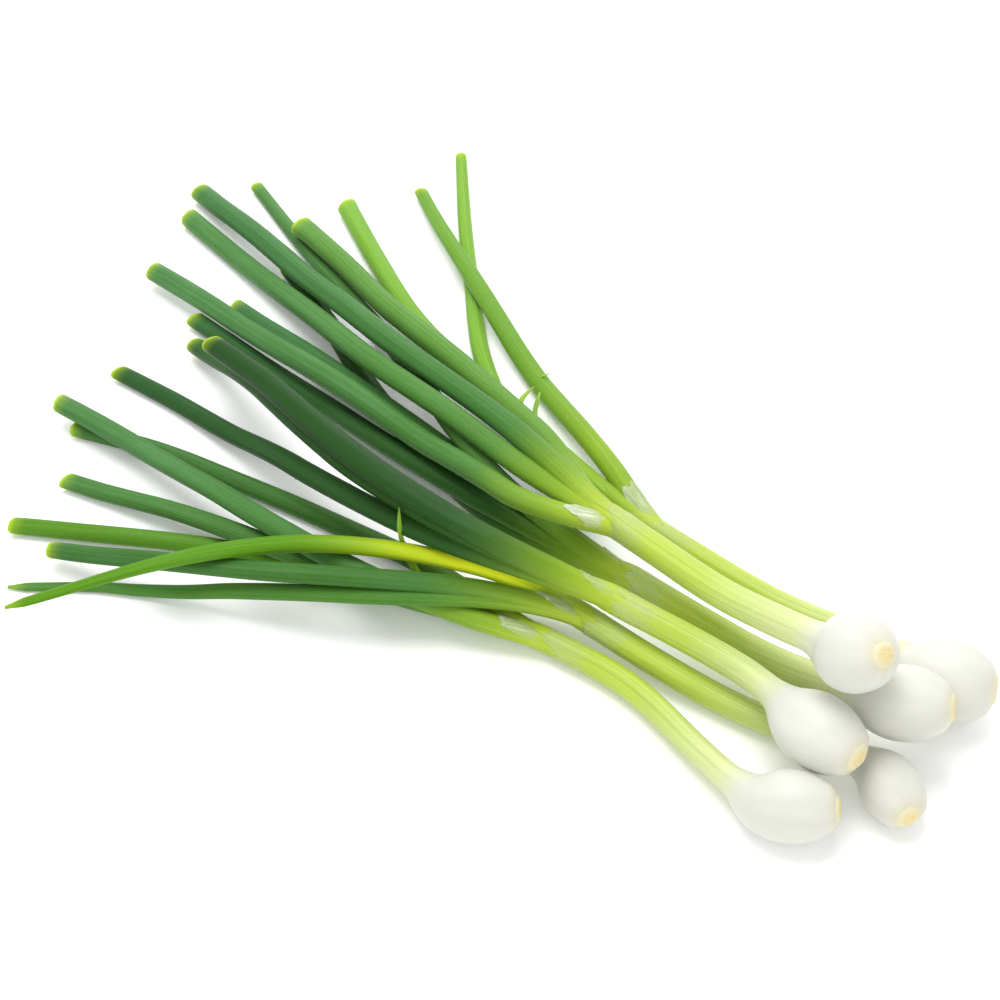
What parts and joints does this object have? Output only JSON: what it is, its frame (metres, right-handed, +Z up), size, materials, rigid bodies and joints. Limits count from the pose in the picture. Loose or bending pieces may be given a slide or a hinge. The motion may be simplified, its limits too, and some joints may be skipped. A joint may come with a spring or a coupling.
{
  "type": "spring onion bunch",
  "caption": "Loose bunch of trimmed spring onions lying in a pile, with white bulbs, pale necks and long hollow green leaves.",
  "frame": {"origin": "on the surface under the middle of the bunch", "axes": "+X along the bunch towards the bulbs, +Z up from the surface that it lies on"},
  "size_m": [0.3952, 0.308, 0.0626],
  "materials": {
    "stem": "smooth moist skin, white at the bulb, pale yellow-green up the neck",
    "root_plate": "dry corky trimmed root plate",
    "sheath": "thin translucent papery skin",
    "leaf": "waxy green with a soft bloom and fine lengthwise veins",
    "pale_leaf": "waxy bright yellow-green"
  },
  "bodies": {
    "root": {"onion_a_stem": "stem", "onion_a_root_plate": "root_plate", "onion_a_sheath": "sheath", "onion_a_leaf_1": "leaf", "onion_a_leaf_2": "leaf", "onion_a_leaf_3": "leaf", "onion_a_leaf_4": "leaf", "onion_b_stem": "stem", "onion_b_root_plate": "root_plate", "onion_b_sheath": "sheath", "onion_b_leaf_1": "pale_leaf", "onion_b_leaf_2": "leaf", "onion_b_leaf_3": "pale_leaf", "onion_b_young_leaf": "pale_leaf", "onion_c_stem": "stem", "onion_c_root_plate": "root_plate", "onion_c_sheath": "sheath", "onion_c_leaf_1": "leaf", "onion_c_leaf_2": "leaf", "onion_c_leaf_3": "leaf", "onion_c_leaf_4": "leaf", "onion_d_stem": "stem", "onion_d_root_plate": "root_plate", "onion_d_sheath": "sheath", "onion_d_leaf_1": "leaf", "onion_d_leaf_2": "leaf", "onion_d_leaf_3": "leaf", "onion_e_stem": "stem", "onion_e_root_plate": "root_plate", "onion_e_sheath": "sheath", "onion_e_leaf_1": "pale_leaf", "onion_e_leaf_2": "leaf", "onion_e_leaf_3": "leaf", "onion_f_stem": "stem", "onion_f_root_plate": "root_plate", "onion_f_sheath": "sheath", "onion_f_leaf_1": "leaf", "onion_f_leaf_2": "leaf", "onion_f_leaf_3": "leaf", "onion_f_leaf_4": "pale_leaf"}
  },
  "joints": []
}
